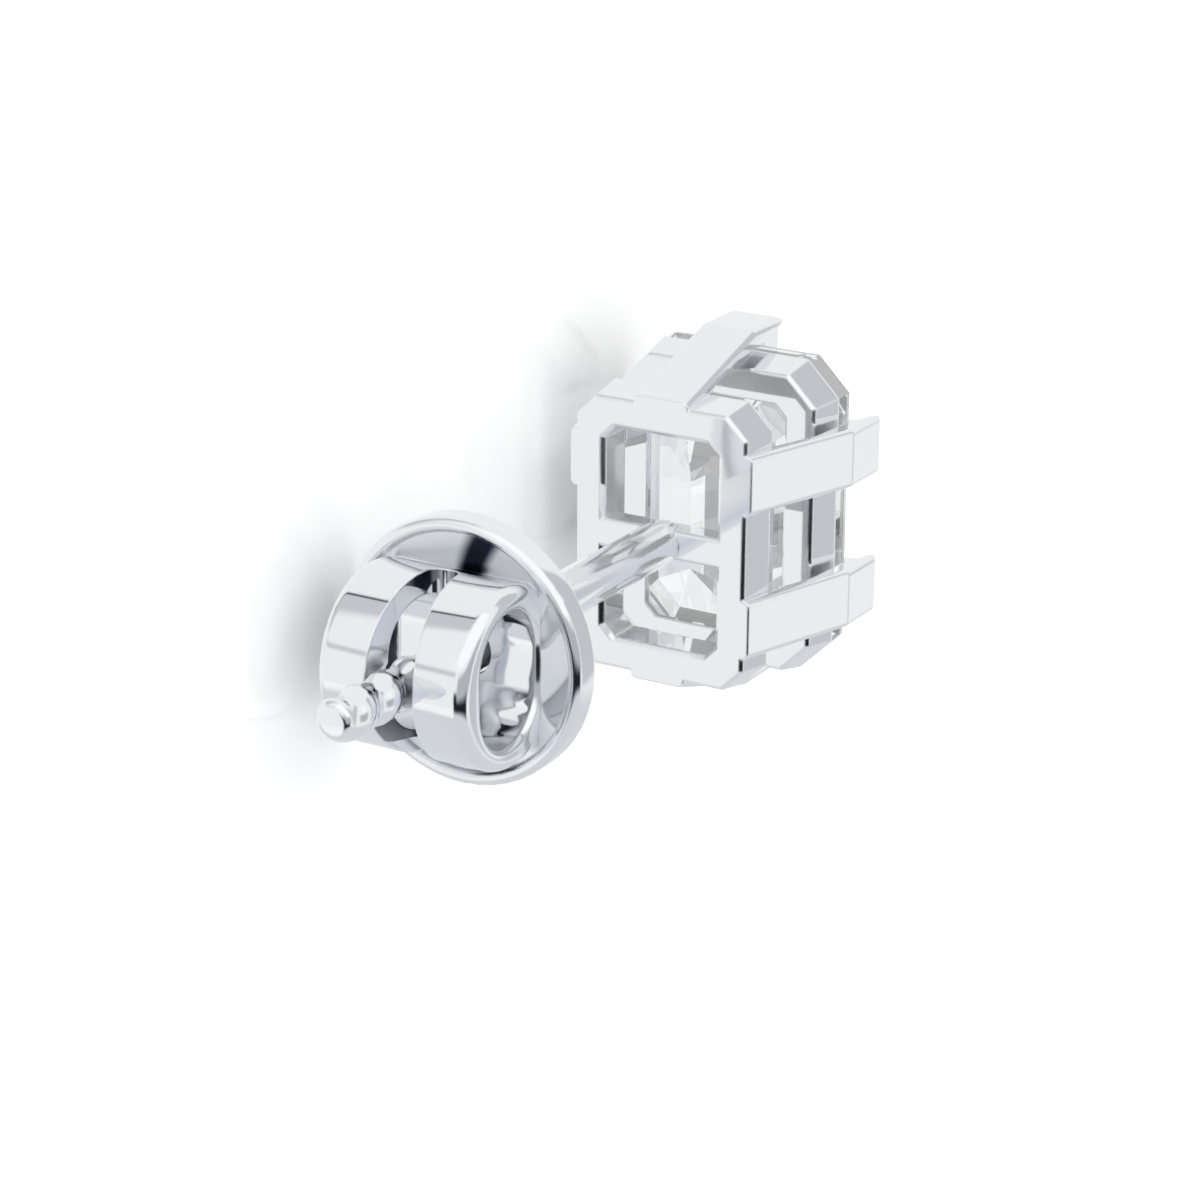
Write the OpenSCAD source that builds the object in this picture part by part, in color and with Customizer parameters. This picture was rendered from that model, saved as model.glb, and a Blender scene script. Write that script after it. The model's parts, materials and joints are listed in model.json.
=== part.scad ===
// Diamond stud earring: an emerald-cut stone in a six-prong basket on a threaded
// post, with a screw back.
//
// Everything is drawn in the post's own frame first: the post runs along +Y from the
// back face of the base rail (y = 0), the stone looks to -Y and its long side is
// along Z. The last step lays the whole earring on its long side, on two prongs and the
// disc's rim, as it rests on a table, and moves its lowest point to z = 0.

/* [Base rail] */
// Width of the base rail's back face, across the short side
base_width = 4.32; // [3.4:0.02:5.4]
// Length of the base rail's back face
base_length = 6.4; // [5.2:0.02:8]
// How much of each side the cut corner takes
base_corner = 0.51; // [0.3:0.01:0.8]
// Depth of the base rail along the post's axis
base_depth = 0.94; // [0.6:0.02:1.1]
// Width of the metal around the window
rail_band = 0.72; // [0.55:0.01:0.85]
// Height of the bridge across the window
bridge_height = 0.68; // [0.4:0.02:1.2]
// Depth of the bridge along the post's axis
bridge_depth = 0.56; // [0.4:0.02:0.9]

/* [Seat rail] */
// How far the seat rail stands out past the base rail, on each side
seat_grow = 0.33; // [0.25:0.01:0.4]
// Distance from the back of the base rail to the back of the seat rail
seat_back = 2.56; // [2.3:0.02:2.7]
// Depth of the seat rail
seat_depth = 0.88; // [0.7:0.02:1]

/* [Stone] */
// How far the girdle stands out past the base rail, on each side
girdle_grow = 0.475; // [0.43:0.005:0.48]
// How much of each side the girdle's cut corner takes
girdle_corner = 0.78; // [0.6:0.01:0.9]
// Gap between the stone and the metal
stone_gap = 0.03; // [0.02:0.01:0.05]

/* [Prongs] */
// Width of a prong
prong_width = 1.37; // [1:0.01:1.5]
// How far a prong's foot stands proud of the base rail
prong_proud = 0.14; // [0.1:0.01:0.2]
// Distance of the two prongs on a long side from its middle
prong_offset = 1.67; // [1.4:0.01:1.8]
// Radius of a prong's long outer edges
prong_round = 0.15; // [0.08:0.01:0.2]

/* [Post] */
// Diameter of the post
post_diameter = 1.03; // [0.8:0.01:1.2]
// Length of the post from the base rail's back face to its end
post_length = 12.66; // [11.5:0.02:15]
// Length of the threaded stretch, without the rounded end
thread_length = 5.2; // [4:0.1:6]
// Radius of the round edge at the post's flat end
tip_round = 0.26; // [0.15:0.01:0.4]
// Distance between neighbouring turns of the thread
thread_pitch = 0.9; // [0.7:0.05:1.2]
// Depth of the thread's groove
thread_depth = 0.1; // [0.05:0.01:0.15]
// Turn of the groove about the post where the thread starts
thread_phase = 130; // [0:5:355]

/* [Screw back] */
// Diameter of the disc
disc_diameter = 5.76; // [5.4:0.02:6.6]
// Distance from the base rail's back face to the middle of the loops' round ends
clutch_place = 8.82; // [7.5:0.01:9.5]
// Radius of the loops' round ends
loop_radius = 1.93; // [1.7:0.01:2.05]
// Half the distance between the loops' outer faces
loop_reach = 1.775; // [1.6:0.005:1.85]
// Clearance between the post and the screw back
running_gap = 0.06; // [0.04:0.01:0.1]

/* [Hidden] */
$fn = 48;
half_width = base_width / 2;
half_length = base_length / 2;
post_radius = post_diameter / 2;
bevel = 0.06;
over = 0.1;

// Frame profiles: rows of distance from the back of the base rail, and height past
// the base rail's side.
base_flare = 0.13;
base_profile = [
    [0, -bevel],
    [bevel, 0],
    [base_depth, base_flare]
];
seat_front = seat_back + seat_depth;
seat_flare = 0.17;
seat_profile = [
    [seat_back, seat_grow - bevel],
    [seat_back + bevel, seat_grow],
    [seat_front, seat_grow + seat_flare]
];
seat_opening = -0.38;
bearing_profile = [
    [seat_back - over, seat_opening],
    [seat_back + 0.16, seat_opening],
    [seat_front + over, 0.32]
];
frame_corner = 0.5;

// The window through the base rail, with a small bevel around it.
window_bevel = 0.1;
window_corner = 0.27;
window_profile = [
    [-over, window_bevel + over],
    [window_bevel, 0],
    [base_depth + over, 0]
];

// The stone's rings from its table to its last pavilion step: rows of distance from
// the back of the base rail, and how far in from the girdle. The keel closes them.
girdle_back = 3.87;
girdle_front = 3.99;
crown_height = 0.67;
stone_rings = [
    [girdle_front + crown_height, 1.00],
    [girdle_front + 0.50, 0.62],
    [girdle_front + 0.27, 0.28],
    [girdle_front, 0],
    [girdle_back, 0],
    [girdle_back - 0.72, 0.52],
    [girdle_back - 1.52, 1.30]
];
keel_place = girdle_back - 2.42;
corner_shrink = 0.15;
stone_half_width = half_width + girdle_grow;
stone_half_length = half_length + girdle_grow;

// A prong from its side: rows of distance from the back of the base rail, and height
// past the base rail's side. The plate is the wide outer layer. The rib behind it is
// narrower, carries the seat rail and folds over the crown as the claw.
crease = 3.05;
claw_end = 4.42;
prong_slope = 0.31;
claw_height = prong_proud + prong_slope * crease;
plate_profile = [
    [0, -0.2],
    [0, prong_proud],
    [crease, claw_height],
    [claw_end - 0.06, claw_height],
    [claw_end, claw_height - 0.07],
    [claw_end - 0.14, claw_height - 0.17],
    [seat_front, claw_height - 0.42],
    [2.2, 0.56],
    [1.45, 0.29],
    [base_depth, 0.1],
    [base_depth, -0.2]
];
rib_half_width = 0.36;
rib_profile = [
    [0.5, -0.2],
    [0.5, 0.2],
    [2.2, 0.75],
    [3.2, 0.95],
    [claw_end + 0.12, claw_height - 0.12],
    [claw_end + 0.36, claw_height - 0.4],
    [claw_end + 0.38, 0.32],
    [claw_end + 0.24, 0.08],
    [claw_end, 0.13],
    [girdle_front + stone_gap, girdle_grow + stone_gap],
    [girdle_back - stone_gap, girdle_grow + stone_gap],
    [seat_front, girdle_grow - 0.22],
    [seat_front - 0.2, girdle_grow - 0.22],
    [seat_back + 0.05, 0.2],
    [base_depth, -0.1]
];

// The post's foot: how far it reaches into the bridge, and where its taper ends.
foot_root = 0.3;
foot_length = 0.2;
foot_taper = 0.05;

// The thread's crest is a hair slimmer than the smooth post. Its groove deepens over
// the run-in, and ends at the run-out angle of the end's round edge.
thread_ease = 0.005;
thread_run_in = 0.4;
run_out_angle = 70;
rings_per_turn = 18;

// The screw back, in distances from the back of the base rail. The disc has a flat
// wall, a slim bead behind it and inside the bead a dish like a shallow cone.
disc_radius = disc_diameter / 2;
bead = 0.16;
bead_ring = disc_radius - bead;
bead_place = clutch_place - 0.77;
wall_front = bead_place - 0.5;
lip = bead_ring - bead;
dish_slope = 0.3;
dish_bottom = bead_place - dish_slope * lip;
plate_thickness = 0.34;

// The loops' wide holes are round at the top and bottom, a hair closer to the free end
// than the outer round. The slot between the loops narrows towards the disc.
hole_place = clutch_place + 0.12;
hole_round = 1.08;
hole_spread = 0.34;
slot_end = 0.57;
slot_root = 0.35;
slot_bottom = clutch_place + 0.01;
loop_edge = 0.26;
hole_edge = 0.2;

// How the earring rests: on the creases of one long side's two prongs and on the
// disc's bead.
head_low = half_width + claw_height;
drop = head_low - bead_ring;
span = crease + bead_place;
rest_tilt = atan(drop / span) - asin(bead / norm([drop, span]));
rest_height = head_low * cos(rest_tilt) - crease * sin(rest_tilt);

// Where the bounding box's ends are along the table.
back_reach = (post_length - tip_round) * cos(rest_tilt)
    + (post_radius - tip_round) * sin(rest_tilt) + tip_round;
front_reach = max([
    for (row = rib_profile)
        row[0] * cos(rest_tilt) + (half_width + row[1]) * sin(rest_tilt)
]);

// Lays the earring so that it rests, with its lowest point at z = 0.
module at_rest() {
    translate([0, (front_reach - back_reach) / 2, rest_height])
        rotate([-rest_tilt, 0, 0]) rotate([0, 90, 0])
            children();
}

// Stands a side view up: its first axis points to the stone, its second axis up.
module side_slab(width) {
    rotate([90, 0, -90]) linear_extrude(width, center = true) children();
}

// The slab between two mirrored copies of a profile, turned about the post's axis.
module wall_pair(profile, half, turn) {
    last = len(profile) - 1;
    upper = [for (row = profile) [row[0], half + row[1]]];
    lower = [for (i = [last : -1 : 0]) [profile[i][0], -half - profile[i][1]]];
    rotate([0, turn, 0]) side_slab(4 * half_length) polygon(concat(upper, lower));
}

// An oblong block with cut corners, whose eight walls all follow one profile.
module octagon_block(profile, half_w, half_l, corner) {
    half_diagonal = (half_w + half_l - corner) / sqrt(2);
    intersection() {
        wall_pair(profile, half_l, 0);
        wall_pair(profile, half_w, 90);
        wall_pair(profile, half_diagonal, 45);
        wall_pair(profile, half_diagonal, -45);
    }
}

module bridge() {
    half = bridge_height / 2;
    profile = [
        [0, -bevel],
        [bevel, 0],
        [bridge_depth, 0]
    ];
    intersection() {
        wall_pair(profile, half, 0);
        cube([base_width - rail_band, 4 * base_depth, base_length], center = true);
    }
}

module base_rail() {
    difference() {
        octagon_block(base_profile, half_width, half_length, base_corner);
        octagon_block(
            window_profile, half_width - rail_band, half_length - rail_band, window_corner
        );
    }
    bridge();
}

module seat_rail() {
    difference() {
        octagon_block(seat_profile, half_width, half_length, frame_corner);
        octagon_block(bearing_profile, half_width, half_length, frame_corner);
    }
}

// The cross-section of a prong's plate: its outer face is at zero, both of that
// face's edges are rounded.
module plate_section() {
    half = prong_width / 2;
    translate([-half, -3]) square([prong_width, 3 - prong_round]);
    translate([prong_round - half, -1]) square([prong_width - 2 * prong_round, 1]);
    for (side = [-1, 1])
        translate([side * (half - prong_round), -prong_round]) circle(prong_round);
}

// A stretch of plate whose outer face passes through the crease at a slope.
module plate_bar(slope) {
    translate([0, -crease, claw_height])
        rotate([90 - slope, 0, 0])
            linear_extrude(12, center = true)
                plate_section();
}

// One prong, on the base rail's top side at a given half-length.
module prong(half) {
    slope = atan(prong_slope);
    lean = tan(slope / 2);
    low = [crease + 3 * lean, claw_height - 3];
    high = [crease - lean, claw_height + 1];
    translate([0, 0, half]) {
        intersection() {
            side_slab(2) polygon(plate_profile);
            plate_bar(slope);
            side_slab(2) polygon([[-1, low[1]], low, high, [-1, high[1]]]);
        }
        intersection() {
            side_slab(2) polygon(plate_profile);
            plate_bar(0);
            side_slab(2) polygon([low, [6, low[1]], [6, high[1]], high]);
        }
        side_slab(2 * rib_half_width) polygon(rib_profile);
    }
}

module prongs() {
    for (turn = [0, 180])
        rotate([0, turn, 0]) prong(half_length);
    for (turn = [90, -90], side = [-1, 1])
        translate([0, 0, side * prong_offset]) rotate([0, turn, 0]) prong(half_width);
}

// The groove and the crest around the post: rows of angle from the groove's middle,
// and depth.
function thread_outline() =
    [for (u = [-180 : 20 : 160]) [u, thread_depth * (1 + cos(u)) / 2]];

// One ring of the threaded end, at a distance along its surface from where it starts.
// The groove runs in over the first stretch and out over the round edge of the end.
function thread_ring(travel, outline) =
    let (
        edge = max(0, travel - thread_length) / tip_round * 180 / PI,
        run_in = max(0, min(1, travel / thread_run_in)),
        run_out = 1 - pow(min(1, edge / run_out_angle), 2),
        crest = post_radius - thread_ease - tip_round * (1 - cos(edge))
    )
    [
        for (row = outline)
            let (
                angle = thread_phase + row[0] - 360 * travel / thread_pitch,
                radius = crest - row[1] * run_in * run_out
            )
            [
                radius * cos(angle),
                radius * sin(angle),
                min(travel, thread_length) + tip_round * sin(edge)
            ]
    ];

// The threaded end, from a little below z = 0 up to its flat tip.
module threaded_end() {
    outline = thread_outline();
    root = 0.05;
    reach = root + thread_length + tip_round * PI / 2;
    last = ceil(rings_per_turn * reach / thread_pitch);
    n = len(outline);
    points = concat(
        [for (j = [0 : last]) each thread_ring(reach * j / last - root, outline)],
        [[0, 0, thread_length + tip_round]]
    );
    tip = n * (last + 1);
    sides = [
        for (j = [0 : last - 1], k = [0 : n - 1])
            let (low = n * j, next = (k + 1) % n)
            each [
                [low + k, low + n + k, low + n + next],
                [low + k, low + n + next, low + next]
            ]
    ];
    fan = [for (k = [0 : n - 1]) [n * last + k, tip, n * last + (k + 1) % n]];
    start = [for (k = [0 : n - 1]) k];
    polyhedron(points, concat([start], sides, fan), convexity = 6);
}

// The post, which tapers a little where it is soldered into the bridge.
module post() {
    thread_start = post_length - tip_round - thread_length;
    rotate([-90, 0, 0]) {
        rotate_extrude() polygon([
            [0, -foot_root],
            [post_radius - foot_taper, -foot_root],
            [post_radius, foot_length],
            [post_radius, thread_start],
            [0, thread_start]
        ]);
        translate([0, 0, thread_start]) threaded_end();
    }
}

module setting() {
    color("gainsboro") at_rest() {
        base_rail();
        seat_rail();
        prongs();
        post();
    }
}

// The eight corners of one of the stone's rings, clockwise from the front.
function ring_points(row) =
    let (
        w = stone_half_width - row[1],
        l = stone_half_length - row[1],
        c = girdle_corner - corner_shrink * row[1]
    )
    [
        for (p = [
            [w - c, l], [w, l - c], [w, c - l], [w - c, -l],
            [c - w, -l], [-w, c - l], [-w, l - c], [c - w, l]
        ])
        [p[0], -row[0], p[1]]
    ];

module stone() {
    last = len(stone_rings) - 1;
    keel = stone_half_length - stone_half_width;
    points = concat(
        [for (row = stone_rings) each ring_points(row)],
        [[0, -keel_place, keel], [0, -keel_place, -keel]]
    );
    top = 8 * (last + 1);
    bottom = top + 1;
    steps = [
        for (i = [0 : last - 1], k = [0 : 7])
            let (next = (k + 1) % 8)
            [8 * i + k, 8 * i + 8 + k, 8 * i + 8 + next, 8 * i + next]
    ];
    keel_sides = [
        [7, top, 0], [0, top, 1], [1, top, bottom, 2], [2, bottom, 3],
        [3, bottom, 4], [4, bottom, 5], [5, bottom, top, 6], [6, top, 7]
    ];
    keel_faces = [
        for (side = keel_sides)
            [for (index = side) index < 8 ? 8 * last + index : index]
    ];
    table = [for (k = [0 : 7]) k];
    color("aliceblue") at_rest()
        polyhedron(points, concat([table], steps, keel_faces), convexity = 2);
}

// The disc's half-section: a dished plate with a wall and a bead around it.
module disc_section() {
    plate_front = dish_bottom - plate_thickness;
    polygon([
        [0, dish_bottom],
        [lip, bead_place],
        [lip, plate_front + dish_slope * lip],
        [0, plate_front]
    ]);
    polygon([
        [lip, wall_front],
        [disc_radius - bevel, wall_front],
        [disc_radius, wall_front + bevel],
        [disc_radius, bead_place],
        [lip, bead_place]
    ]);
    translate([bead_ring, bead_place]) circle(bead);
}

module disc() {
    rotate([-90, 0, 0]) rotate_extrude($fn = 96) disc_section();
}

// The loops' cross-section along the post, round at both outer edges. It stands on
// the post's axis.
module loops_section() {
    inner = loop_reach - loop_edge;
    translate([0, -loop_reach]) square([loop_radius - loop_edge, 2 * loop_reach]);
    translate([0, -inner]) square([loop_radius, 2 * inner]);
    for (side = [-1, 1])
        translate([loop_radius - loop_edge, side * inner]) circle(loop_edge);
}

// Both loops as one round block, cut off inside the disc's plate.
module loops_block() {
    intersection() {
        translate([0, clutch_place, 0])
            rotate([0, 90, 0]) rotate_extrude($fn = 96) loops_section();
        behind_plate();
    }
}

// All the room behind a cone inside the plate.
module behind_plate() {
    cut = dish_bottom - 0.7 * plate_thickness;
    rotate([-90, 0, 0]) rotate_extrude($fn = 96) polygon([
        [0, cut],
        [disc_radius, cut + dish_slope * disc_radius],
        [disc_radius, post_length],
        [0, post_length]
    ]);
}

// The hole through both loops, with rounded rims on the outer faces.
module loop_hole() {
    length = 2 * loop_reach + over;
    translate([0, hole_place, 0]) {
        cube([length, 2 * hole_round, 2 * hole_spread], center = true);
        for (side = [-1, 1])
            translate([0, 0, side * hole_spread]) rotate([0, 90, 0])
                cylinder(r = hole_round, h = length, center = true, $fn = 72);
        for (face = [0, 1]) mirror([face, 0, 0])
            translate([loop_reach - hole_edge, 0, 0]) hole_rim();
    }
}

// Cuts the rounded rim on one outer face.
module hole_rim() {
    for (side = [-1, 1])
        translate([0, 0, side * hole_spread]) rotate([0, 90, 0])
            rotate_extrude($fn = 72) rim_section();
    for (end = [0, 1]) mirror([0, end, 0])
        linear_extrude(2 * hole_spread, center = true) mirror([1, -1]) rim_section();
}

module rim_section() {
    difference() {
        translate([hole_round - over, 0]) square(hole_edge + over);
        translate([hole_round + hole_edge, 0]) circle(hole_edge);
    }
}

// The slot between the loops.
module slot() {
    linear_extrude(2 * loop_radius + 1, center = true) {
        translate([0, slot_bottom]) circle(slot_root);
        polygon([
            [-slot_root, slot_bottom],
            [slot_root, slot_bottom],
            [slot_end, clutch_place + loop_radius],
            [-slot_end, clutch_place + loop_radius]
        ]);
    }
}

module clutch() {
    color("gainsboro") at_rest() difference() {
        union() {
            disc();
            difference() {
                loops_block();
                loop_hole();
                slot();
            }
        }
        rotate([-90, 0, 0]) cylinder(r = post_radius + running_gap, h = 2 * clutch_place);
    }
}

setting();
stone();
clutch();
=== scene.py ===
# %% [markdown]
# A diamond stud earring, seen from behind: a threaded post with a round screw back, and a
# basket of six flat prongs around an emerald-cut stone. The metal pieces and the stone are
# already built to size, so this lesson is about their looks: polish, glass, floor and light.

# %% Load the earring
import json
import math

import bpy
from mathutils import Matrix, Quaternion, Vector


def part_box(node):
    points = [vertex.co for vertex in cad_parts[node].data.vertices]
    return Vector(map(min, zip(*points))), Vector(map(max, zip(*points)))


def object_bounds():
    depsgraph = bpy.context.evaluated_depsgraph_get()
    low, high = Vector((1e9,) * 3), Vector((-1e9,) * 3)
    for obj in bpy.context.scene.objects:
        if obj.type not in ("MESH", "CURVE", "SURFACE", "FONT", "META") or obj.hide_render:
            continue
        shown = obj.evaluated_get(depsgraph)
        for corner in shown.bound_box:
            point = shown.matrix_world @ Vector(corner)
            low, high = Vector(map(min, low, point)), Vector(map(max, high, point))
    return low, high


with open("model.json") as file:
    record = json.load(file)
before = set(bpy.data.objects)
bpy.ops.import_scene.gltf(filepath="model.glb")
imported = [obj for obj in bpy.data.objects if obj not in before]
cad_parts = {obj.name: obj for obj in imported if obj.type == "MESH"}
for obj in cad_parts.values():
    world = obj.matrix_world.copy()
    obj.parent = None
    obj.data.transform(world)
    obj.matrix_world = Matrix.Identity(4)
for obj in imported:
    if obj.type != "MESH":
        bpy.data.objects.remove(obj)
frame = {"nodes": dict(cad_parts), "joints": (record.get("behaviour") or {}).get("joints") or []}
cad_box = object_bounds()
MM = 0.001
earring_size = (cad_box[1] - cad_box[0]) / MM
print("nodes:", sorted(frame["nodes"]), "size in mm:", [round(x, 2) for x in earring_size])

# %% [markdown]
# The photograph was taken from behind and a little above, with a long lens, as jewellery
# usually is: a long lens keeps the near loop from looking larger than the far prongs. Here
# the earring lies on its long side, as it rests on a table. So the camera is aimed at a
# point near its middle, then rolled by a good quarter turn about its own line of sight. Its
# place and lens put the basket's corners where the photograph has them.

# %% Camera
camera_place = Vector((24.668, 60.003, 36.727)) * MM
camera_aim = Vector((-0.112, -0.233, 3.665)) * MM
camera_roll = math.radians(100.903)
camera_data = bpy.data.cameras.new("camera")
camera_data.sensor_width = 36.0
camera_data.lens = 102.63
camera_data.clip_start = 1 * MM
camera_data.clip_end = 10.0
camera = bpy.data.objects.new("camera", camera_data)
line_of_sight = camera_aim - camera_place
camera.rotation_mode = "QUATERNION"
level_turn = line_of_sight.to_track_quat("-Z", "Y")
camera.rotation_quaternion = level_turn @ Quaternion((0, 0, 1), camera_roll)
camera.location = camera_place
bpy.context.scene.collection.objects.link(camera)
bpy.context.scene.camera = camera
print("camera distance in mm:", round(line_of_sight.length / MM, 1))

# %% [markdown]
# The earring lies on its long side, with its post leaning a little down to the tip. The light
# is placed around the post, so a direction in the room is first turned to the post's frame:
# about X by the post's lean, then about Y by the quarter turn that laid the earring down.
# The painted shade in the screw back's slot is placed from its own middle, along the post and across the
# loops.

# %% The post's frame
post_axis = Vector(frame["joints"][0]["axis"])
post_lean = math.atan2(-post_axis.z, post_axis.y)
to_post_turn = (post_lean, -math.pi / 2, 0.0)
low_corner, high_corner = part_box("clutch")
screw_back_middle = (low_corner + high_corner) / 2
across_loops = Vector((0, -post_axis.z, post_axis.y))
print("the post leans", round(math.degrees(post_lean), 2), "degrees")

# %% [markdown]
# Every material below is a small tree of nodes. A few helpers keep the trees readable. The
# first adds a node and sets its inputs by name, the last starts a group with its sockets,
# and the others add the kinds of node that come back again and again.


# %% Helpers for node trees
def add(tree, kind, inputs=None, **settings):
    """Adds a node. Inputs are values, or the sockets of other nodes to link from."""
    node = tree.nodes.new(kind)
    for name, value in settings.items():
        setattr(node, name, value)
    for name, value in (inputs or {}).items():
        if isinstance(value, bpy.types.NodeSocket):
            tree.links.new(value, node.inputs[name])
        else:
            node.inputs[name].default_value = value
    return node


def math_node(tree, operation, *values):
    """Works on one to three numbers. It and the next four return the result's socket."""
    return add(tree, "ShaderNodeMath", dict(enumerate(values)), operation=operation).outputs[0]


def along(tree, vector, direction):
    """How far a vector reaches along a fixed direction."""
    inputs = {0: vector, 1: tuple(direction)}
    return add(tree, "ShaderNodeVectorMath", inputs, operation="DOT_PRODUCT").outputs["Value"]


def soft_step(tree, value, start, end):
    """Rises smoothly from 0 where the value is start to 1 where it is end."""
    inputs = {"Value": value, "From Min": start, "From Max": end}
    return add(tree, "ShaderNodeMapRange", inputs, interpolation_type="SMOOTHSTEP").outputs["Result"]


def mix_numbers(tree, share, first, second):
    return add(tree, "ShaderNodeMix", {0: share, 2: first, 3: second}, data_type="FLOAT").outputs[0]


def mix_colours(tree, share, first, second):
    return add(tree, "ShaderNodeMix", {0: share, 6: first, 7: second}, data_type="RGBA").outputs[2]


def new_group(name, inputs, outputs, kind="ShaderNodeTree"):
    """Starts a node group. Inputs are rows of name, socket type and default value, and
    outputs are rows of name and socket type."""
    group = bpy.data.node_groups.new(name, kind)
    for socket_name, socket_type, default in inputs:
        socket = group.interface.new_socket(socket_name, in_out="INPUT", socket_type=socket_type)
        if default is not None:
            socket.default_value = default
    for socket_name, socket_type in outputs:
        group.interface.new_socket(socket_name, in_out="OUTPUT", socket_type=socket_type)
    return group, group.nodes.new("NodeGroupInput"), group.nodes.new("NodeGroupOutput")


print("helpers:", [helper.__name__ for helper in (add, math_node, along, soft_step, new_group)])


# %% [markdown]
# The pieces come as triangles. A real polished post is round and a real prong has crisp
# edges, so the shading is smoothed across shallow angles only, and the mesh stays as it is.
# A small Geometry Nodes modifier does that for each piece: it joins the triangles' corners
# that lie on one another, and keeps edges steeper than a limit sharp. The basket is cut from
# flat plates and the plain post is straight, so their limit is low. From the thread on,
# where the screw back sits, everything curves more tightly and the limit is high.


# %% Smooth shading by angle
weld_distance = 1e-4 * MM
thread_begin = 3.26 * MM
plain_limit = math.radians(8)
thread_limit = math.radians(34)


def smooth_by_angle(name):
    """Thread begin is a place along the post, measured from the frame's origin."""
    group, start, end = new_group(
        name,
        [("Geometry", "NodeSocketGeometry", None)],
        [("Geometry", "NodeSocketGeometry")],
        kind="GeometryNodeTree",
    )
    welded = add(
        group, "GeometryNodeMergeByDistance",
        {"Geometry": start.outputs["Geometry"], "Distance": weld_distance},
    )
    angle = add(group, "GeometryNodeInputMeshEdgeAngle").outputs["Unsigned Angle"]
    place = add(group, "GeometryNodeInputPosition").outputs["Position"]
    threaded = math_node(group, "GREATER_THAN", along(group, place, post_axis), thread_begin)
    limit = mix_numbers(group, threaded, plain_limit, thread_limit)
    steep = add(group, "FunctionNodeCompare", {"A": angle, "B": limit}, operation="GREATER_THAN")
    faces = add(
        group, "GeometryNodeSetShadeSmooth",
        {"Geometry": welded.outputs["Geometry"], "Shade Smooth": True}, domain="FACE",
    )
    crisp = add(
        group, "GeometryNodeSetShadeSmooth",
        {
            "Geometry": faces.outputs["Geometry"],
            "Selection": steep.outputs["Result"],
            "Shade Smooth": False,
        },
        domain="EDGE",
    )
    group.links.new(crisp.outputs["Geometry"], end.inputs["Geometry"])
    return group


metal_pieces = ("setting", "clutch")
smoothing = smooth_by_angle("smooth_by_angle")
for metal_piece in metal_pieces:
    modifier = frame["nodes"][metal_piece].modifiers.new("smooth_by_angle", "NODES")
    modifier.node_group = smoothing
print("smoothed:", metal_pieces)

# %% [markdown]
# Polished precious metal isn't a perfect mirror. Up close, the felt wheel leaves a faint
# haze of fine lines, and its pressure rounds every edge a little, which is where the bright
# outlines come from. Both effects are in one group that each metal uses with its own values.


# %% Group: jeweller's polish
haze_scale = 1.1 / MM
cloud_scale = 0.35 / MM
cloud_tint = (0.6, 0.62, 0.66, 1.0)
bevel_samples = 6


def make_polish_group():
    group, start, end = new_group(
        "jewellers_polish",
        [
            ("Roughness", "NodeSocketFloat", 0.04),
            ("Haze", "NodeSocketFloat", 0.03),
            ("Edge Radius", "NodeSocketFloat", 0.03 * MM),
            ("Tint", "NodeSocketColor", (0.9, 0.9, 0.9, 1.0)),
            ("Tint Change", "NodeSocketFloat", 0.03),
        ],
        [("Color", "NodeSocketColor"), ("Roughness", "NodeSocketFloat"), ("Normal", "NodeSocketVector")],
    )
    place = add(group, "ShaderNodeTexCoord").outputs["Object"]
    haze = add(group, "ShaderNodeTexNoise", {"Vector": place, "Scale": haze_scale, "Detail": 3.0})
    rough = math_node(
        group, "MULTIPLY_ADD", haze.outputs["Fac"], start.outputs["Haze"], start.outputs["Roughness"]
    )
    cloud = add(group, "ShaderNodeTexNoise", {"Vector": place, "Scale": cloud_scale, "Detail": 1.0})
    shade = math_node(group, "MULTIPLY", cloud.outputs["Fac"], start.outputs["Tint Change"])
    edge = add(
        group, "ShaderNodeBevel", {"Radius": start.outputs["Edge Radius"]}, samples=bevel_samples
    )
    clouded = mix_colours(group, shade, start.outputs["Tint"], cloud_tint)
    group.links.new(clouded, end.inputs["Color"])
    group.links.new(rough, end.inputs["Roughness"])
    group.links.new(edge.outputs["Normal"], end.inputs["Normal"])
    return group


polish = make_polish_group()
print("group:", polish.name)

# %% [markdown]
# The basket and the screw back are both of white gold. Metal that is seen in other metal is
# shown softer, so each face has one clear picture of the tent in it and not a crowd of small
# ones. The Light Path node tells how often a ray has been mirrored before it gets here.


# %% White gold
mirrored_roughness = 0.35


def polished_metal(name, tint, roughness, haze, edge_radius):
    material = bpy.data.materials.new(name)
    material.use_nodes = True
    tree = material.node_tree
    shader = tree.nodes["Principled BSDF"]
    shader.inputs["Metallic"].default_value = 1.0
    surface = add(
        tree, "ShaderNodeGroup",
        {"Roughness": roughness, "Haze": haze, "Edge Radius": edge_radius, "Tint": (*tint, 1.0)},
        node_tree=polish,
    )
    mirror_count = add(tree, "ShaderNodeLightPath").outputs["Glossy Depth"]
    mirrored = math_node(tree, "MINIMUM", mirror_count, 1.0)
    soft = math_node(
        tree, "MULTIPLY_ADD", mirrored, mirrored_roughness, surface.outputs["Roughness"]
    )
    tree.links.new(surface.outputs["Color"], shader.inputs["Base Color"])
    tree.links.new(soft, shader.inputs["Roughness"])
    tree.links.new(surface.outputs["Normal"], shader.inputs["Normal"])
    return material


white_gold = polished_metal(
    "polished_white_gold",
    tint=(0.86, 0.865, 0.875), roughness=0.04, haze=0.03, edge_radius=0.08 * MM,
)
clutch_gold = polished_metal(
    "polished_screw_back",
    tint=(0.85, 0.86, 0.875), roughness=0.04, haze=0.03, edge_radius=0.06 * MM,
)
print("metals:", white_gold.name, clutch_gold.name)
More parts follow.
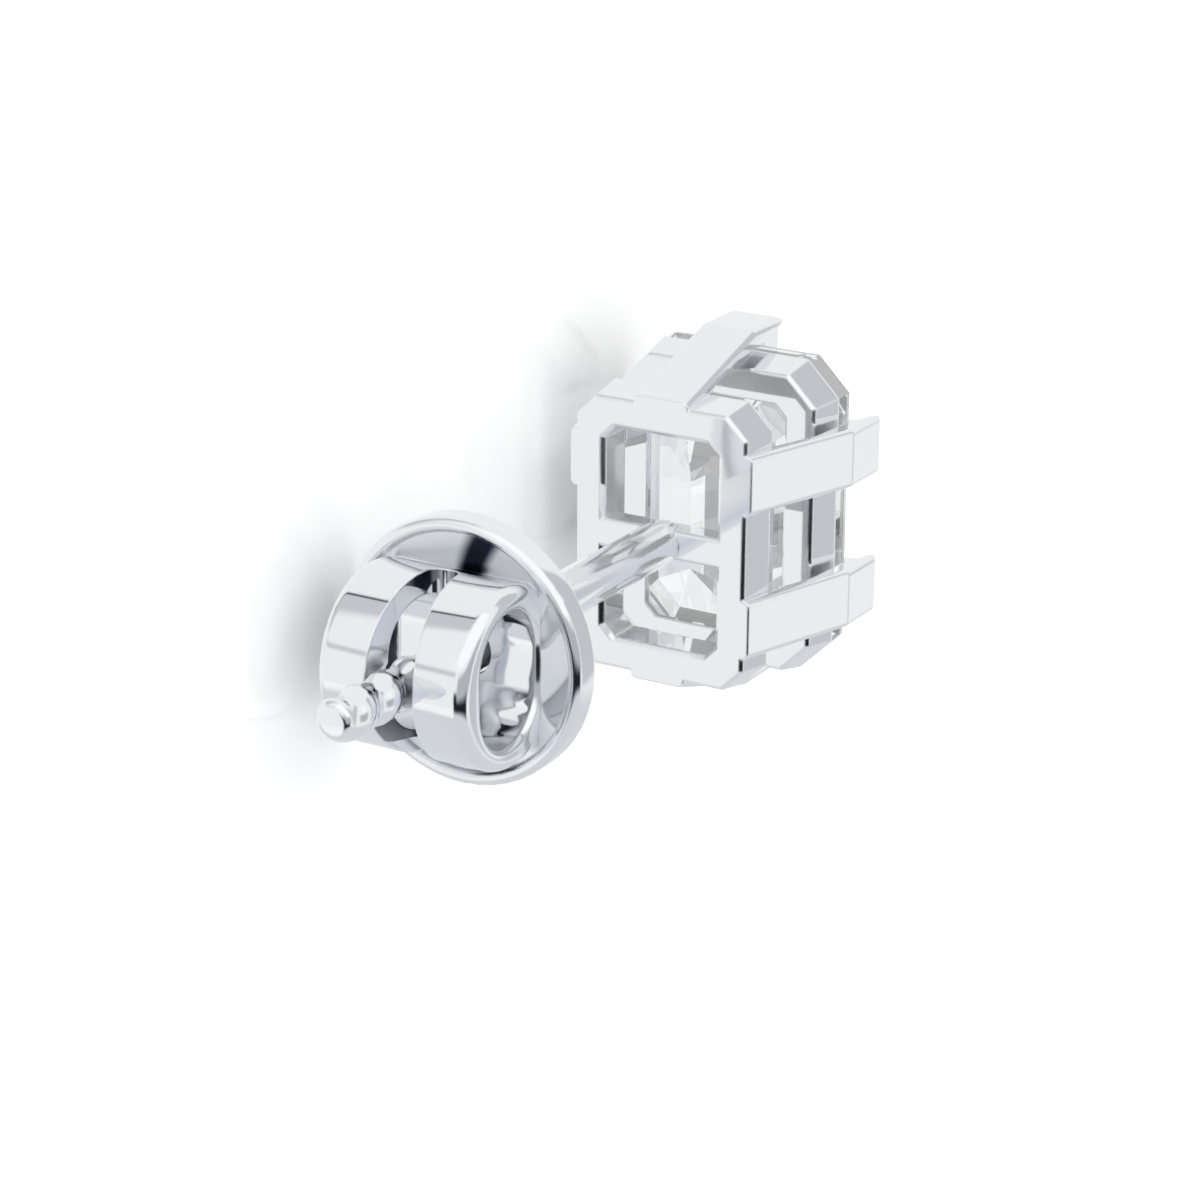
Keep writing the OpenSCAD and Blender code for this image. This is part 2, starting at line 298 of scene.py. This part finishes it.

# %% [markdown]
# Painted shade: the narrow slot between the loops gets a blue-black colour in the screw back's own
# surface, standing in for the shade in that recess. Only rays that come from other metal see it, so the
# metal around the slot shows it as a painted dark reflection. It is dark in the middle, fades towards
# the slot's walls, and is a little wider towards the post's tip.


# %% Painted shade in the slot between the loops
slot_half_width = 0.56 * MM
slot_widening = 0.1
slot_core = 0.35
loop_reach = 1.95 * MM
# the blue-black colour of the painted shade in the slot
slot_shade_colour = (0.014, 0.018, 0.032, 1.0)


def paint_slot_shade(material):
    """Paints shade into the slot between the loops, which only rays from other metal see. The core is
    the share of the slot's half width where the painted shade is darkest. The widening is what the half
    width gains with each length along the post."""
    tree = material.node_tree
    base_colour = tree.nodes["Principled BSDF"].inputs["Base Color"]
    place = add(tree, "ShaderNodeTexCoord").outputs["Object"]
    from_middle = add(
        tree, "ShaderNodeVectorMath", {0: place, 1: tuple(screw_back_middle)}, operation="SUBTRACT"
    ).outputs["Vector"]
    aside = math_node(tree, "ABSOLUTE", along(tree, from_middle, across_loops))
    towards_tip = along(tree, from_middle, post_axis)
    height = add(tree, "ShaderNodeSeparateXYZ", {"Vector": from_middle}).outputs["X"]
    wall = math_node(tree, "MULTIPLY_ADD", towards_tip, slot_widening, slot_half_width)
    between = soft_step(tree, aside, wall, math_node(tree, "MULTIPLY", wall, slot_core))
    inside = math_node(tree, "LESS_THAN", math_node(tree, "ABSOLUTE", height), loop_reach)
    in_slot = math_node(tree, "MULTIPLY", between, inside)
    mirror_count = add(tree, "ShaderNodeLightPath").outputs["Glossy Depth"]
    mirrored = math_node(tree, "GREATER_THAN", mirror_count, 0.5)
    # painted shade: shown only where the screw back is seen in a reflection
    dark = math_node(tree, "MULTIPLY", in_slot, mirrored)
    plain_colour = base_colour.links[0].from_socket
    tree.links.new(mix_colours(tree, dark, plain_colour, slot_shade_colour), base_colour)


paint_slot_shade(clutch_gold)
print("dark slot, width in mm:", round(2 * slot_half_width / MM, 2))

# %% [markdown]
# A diamond bends light so strongly that most of it runs round inside the stone before it
# comes out. A ray that has met several facets gets a little light of its own, for the sparkle
# that a small stone has under many lamps. The girdle, the thin band around the widest
# place, is ground and not polished, so it is frosted.


# %% Diamond
diamond_ior = 2.417
sparkle = 0.12
sparkle_depth = 3.5
girdle_roughness = 0.5
girdle_tilt = 0.05
grain_scale = 9.0 / MM


def cut_diamond(name):
    """The girdle's faces are those whose normal leans along the post by less than its tilt."""
    material = bpy.data.materials.new(name)
    material.use_nodes = True
    tree = material.node_tree
    shader = tree.nodes["Principled BSDF"]
    shader.inputs["Base Color"].default_value = (1.0, 1.0, 1.0, 1.0)
    shader.inputs["Transmission Weight"].default_value = 1.0
    shader.inputs["IOR"].default_value = diamond_ior
    ray_depth = add(tree, "ShaderNodeLightPath").outputs["Ray Depth"]
    long_path = math_node(tree, "GREATER_THAN", ray_depth, sparkle_depth)
    glint = math_node(tree, "MULTIPLY", long_path, sparkle)
    tree.links.new(glint, shader.inputs["Emission Strength"])
    facet_normal = add(tree, "ShaderNodeNewGeometry").outputs["True Normal"]
    lean = math_node(tree, "ABSOLUTE", along(tree, facet_normal, post_axis))
    girdle = math_node(tree, "LESS_THAN", lean, girdle_tilt)
    grain = add(tree, "ShaderNodeTexNoise", {"Scale": grain_scale, "Detail": 2.0}).outputs["Fac"]
    ground_surface = math_node(tree, "MULTIPLY", grain, girdle_roughness)
    roughness = math_node(tree, "MULTIPLY", girdle, ground_surface)
    tree.links.new(roughness, shader.inputs["Roughness"])
    return material


diamond = cut_diamond("colourless_diamond")
print("stone:", diamond.name)

# %% Each piece gets its finish
finishes = {"setting": white_gold, "clutch": clutch_gold, "stone": diamond}
for node_name, finish in finishes.items():
    mesh = frame["nodes"][node_name].data
    mesh.materials.clear()
    mesh.materials.append(finish)
print("finishes:", {node_name: finish.name for node_name, finish in finishes.items()})

# %% [markdown]
# Jewellery is photographed on a sheet of white acrylic glass, which gives a soft shadow and
# a pale reflection. The sheet is far larger than the earring, so its edges never show. The
# metal and the stone don't mirror it: what they see below them is a part of the light tent,
# which can be graded as a photographer would do it.


# %% Floor
floor_side = 1200 * MM
acrylic_white = (0.93, 0.93, 0.93, 1.0)
acrylic_roughness = 0.03
acrylic_ior = 1.5


def make_floor(side):
    mesh = bpy.data.meshes.new("floor")
    half = side / 2
    corners = [(-half, -half, 0), (half, -half, 0), (half, half, 0), (-half, half, 0)]
    mesh.from_pydata(corners, [], [(0, 1, 2, 3)])
    floor = bpy.data.objects.new("floor", mesh)
    bpy.context.scene.collection.objects.link(floor)
    material = bpy.data.materials.new("white_gloss_floor")
    material.use_nodes = True
    shader = material.node_tree.nodes["Principled BSDF"]
    shader.inputs["Base Color"].default_value = acrylic_white
    shader.inputs["Roughness"].default_value = acrylic_roughness
    shader.inputs["IOR"].default_value = acrylic_ior
    mesh.materials.append(material)
    return floor


floor = make_floor(floor_side)
floor.visible_glossy = False
floor.visible_transmission = False
print("floor side in mm:", round(floor_side / MM))

# %% [markdown]
# Polished metal has no look of its own: it shows what stands around it. The tent is white
# with a few cards in it, as a photographer hangs them. A long dark one gives the screw back
# its black accents, a narrow slit between two sheets draws a thin line across each loop,
# and a grey sheet gives the basket's sides their tone. Their places are angles around the
# post, so they turn with the earring.


# %% Group: a card of the light tent
def make_card_group():
    """A soft-edged patch of the tent, placed by azimuth and elevation in degrees."""
    group, start, end = new_group(
        "tent_card",
        [
            ("Azimuth", "NodeSocketFloat", 0.0),
            ("Elevation", "NodeSocketFloat", 0.0),
            ("Card Azimuth", "NodeSocketFloat", 0.0),
            ("Card Elevation", "NodeSocketFloat", 0.0),
            ("Half Width", "NodeSocketFloat", 10.0),
            ("Half Height", "NodeSocketFloat", 10.0),
            ("Softness", "NodeSocketFloat", 4.0),
        ],
        [("Mask", "NodeSocketFloat")],
    )
    masks = []
    for axis, half in (("Azimuth", "Half Width"), ("Elevation", "Half Height")):
        away = math_node(group, "SUBTRACT", start.outputs[axis], start.outputs["Card " + axis])
        distance = math_node(group, "ABSOLUTE", math_node(group, "WRAP", away, -180.0, 180.0))
        outer = math_node(group, "ADD", start.outputs[half], start.outputs["Softness"])
        masks.append(soft_step(group, distance, outer, start.outputs[half]))
    group.links.new(math_node(group, "MULTIPLY", masks[0], masks[1]), end.inputs["Mask"])
    return group


tent_card = make_card_group()
print("group:", tent_card.name)

# %% The tent's cards
CARD_SOCKETS = ("Card Azimuth", "Card Elevation", "Half Width", "Half Height", "Softness")

# Azimuth turns from the post's tip towards the stone's long right side, elevation is up.
# All are in degrees, and brightness is 1 where the tent is plain white. A card lies over
# those in the rows above it.
tent_cards = {
    # name: (azimuth, elevation, half width, half height, softness), brightness
    "white ceiling": ((-40, 60, 60, 30, 15), 1.12),
    "dark card behind the camera": ((-36, -17, 52, 7, 9), 0.02),
    "grey edge of that card": ((-57, 0, 48, 8, 12), 0.55),
    "grey sheet beside the prongs": ((-138, 12, 9, 34, 5), 0.66),
    "grey sheet beside the slit": ((70, 45, 11, 22, 10), 0.68),
    "slit between two sheets": ((83, 50, 1, 25, 2), 0.05),
    "seam of the front sheet": ((40, 13, 14, 0.5, 4), 0.7),
    "lamp near the floor": ((40, -28, 14, 3, 3), 1.05),
    "grey ground": ((100, -50, 60, 14, 10), 0.78),
}
print("tent cards:", list(tent_cards))

# %% [markdown]
# The tent is the world's light. Below the earring it is a little darker, as white acrylic
# is, and its dark places are bluish, as shade is in daylight. The Light Path node lets each
# kind of ray see its own tent: the floor and the background have an even white room, the
# stone has paler cards, and so has metal that is itself seen twice in metal.


# %% Light tent
ground_elevation = -36.0
tent_elevation = -22.0
ground_brightness = 0.76
tent_brightness = 0.97
room_brightness = 1.7
stone_fill = 0.6
metal_fill = 0.85
shade_tint = (0.78, 0.87, 1.0, 1.0)
white = (1.0, 1.0, 1.0, 1.0)


def make_tent(cards):
    """Ground and tent elevation are where the ground's tone ends and the tent's begins."""
    world = bpy.data.worlds.new("light_tent")
    bpy.context.scene.world = world
    world.use_nodes = True
    tree = world.node_tree
    tree.nodes.clear()
    direction = add(tree, "ShaderNodeTexCoord").outputs["Generated"]
    turned = add(
        tree, "ShaderNodeMapping", {"Vector": direction, "Rotation": to_post_turn}, vector_type="VECTOR"
    )
    parts = add(tree, "ShaderNodeSeparateXYZ", {"Vector": turned.outputs["Vector"]})
    x, y, z = (parts.outputs[i] for i in range(3))
    azimuth = math_node(tree, "DEGREES", math_node(tree, "ARCTAN2", x, y))
    elevation = math_node(tree, "DEGREES", math_node(tree, "ARCSINE", z))
    above_ground = soft_step(tree, elevation, ground_elevation, tent_elevation)
    brightness = mix_numbers(tree, above_ground, ground_brightness, tent_brightness)
    for name, (place, card_brightness) in cards.items():
        card = add(
            tree, "ShaderNodeGroup",
            {"Azimuth": azimuth, "Elevation": elevation, **dict(zip(CARD_SOCKETS, place))},
            node_tree=tent_card, label=name,
        )
        brightness = mix_numbers(tree, card.outputs["Mask"], brightness, card_brightness)
    colour = mix_colours(tree, brightness, shade_tint, white)
    ray = add(tree, "ShaderNodeLightPath")
    through_stone = math_node(tree, "MULTIPLY", ray.outputs["Is Transmission Ray"], stone_fill)
    mirrored_twice = math_node(tree, "GREATER_THAN", ray.outputs["Glossy Depth"], 1.5)
    in_metal = math_node(tree, "MULTIPLY", mirrored_twice, metal_fill)
    lift = math_node(tree, "MAXIMUM", through_stone, in_metal)
    lifted = mix_numbers(tree, lift, brightness, 1.0)
    tent = add(tree, "ShaderNodeBackground", {"Color": colour, "Strength": lifted})
    room = add(tree, "ShaderNodeBackground", {"Strength": room_brightness})
    in_polish = math_node(
        tree, "MAXIMUM", ray.outputs["Is Glossy Ray"], ray.outputs["Is Transmission Ray"]
    )
    either = add(
        tree, "ShaderNodeMixShader", {0: in_polish, 1: room.outputs[0], 2: tent.outputs[0]}
    )
    add(tree, "ShaderNodeOutputWorld", {"Surface": either.outputs[0]})
    world.cycles.sampling_method = "NONE"
    return world


light_tent = make_tent(tent_cards)
bpy.context.scene.view_settings.view_transform = "Standard"
print("world:", light_tent.name)
